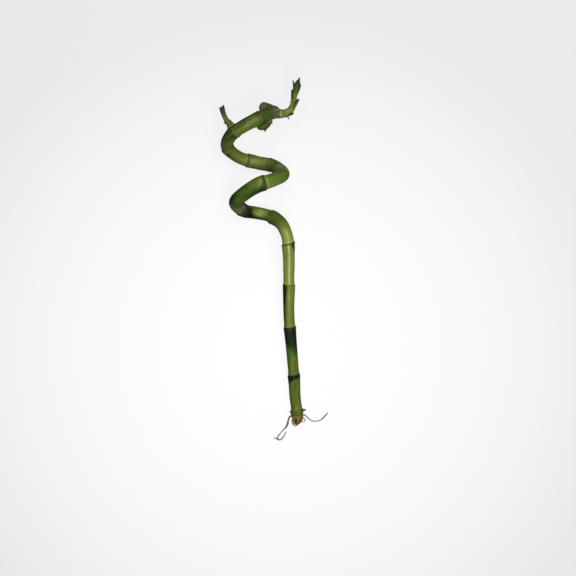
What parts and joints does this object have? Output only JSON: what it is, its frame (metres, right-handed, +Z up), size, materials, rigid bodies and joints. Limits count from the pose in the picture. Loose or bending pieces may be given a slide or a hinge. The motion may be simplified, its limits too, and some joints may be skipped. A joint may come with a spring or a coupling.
{
  "type": "lucky bamboo stalk",
  "caption": "Curly lucky bamboo stalk lying on its side: a straight green cane that winds into a coil, with trimmed leafy shoots and brown roots.",
  "frame": {"origin": "on the surface that the stalk rests on, under the middle of its bounding box", "axes": "+Z up from the surface, +Y along the stalk's length from the roots to the coil's end, +X to the side that the top shoot grows from"},
  "size_m": [0.1092, 0.3638, 0.0619],
  "materials": {
    "cane_skin": "waxy gloss",
    "shoot_green": "satin",
    "bud_scale": "dry matt",
    "root_brown": "dry matt"
  },
  "bodies": {
    "root": {"cane": "cane_skin", "roots": "root_brown", "shoot_top": "shoot_green", "shoot_top_scale": "bud_scale", "shoot_left": "shoot_green", "shoot_left_scale": "bud_scale", "shoot_under": "shoot_green", "shoot_under_scale": "bud_scale"}
  },
  "joints": []
}
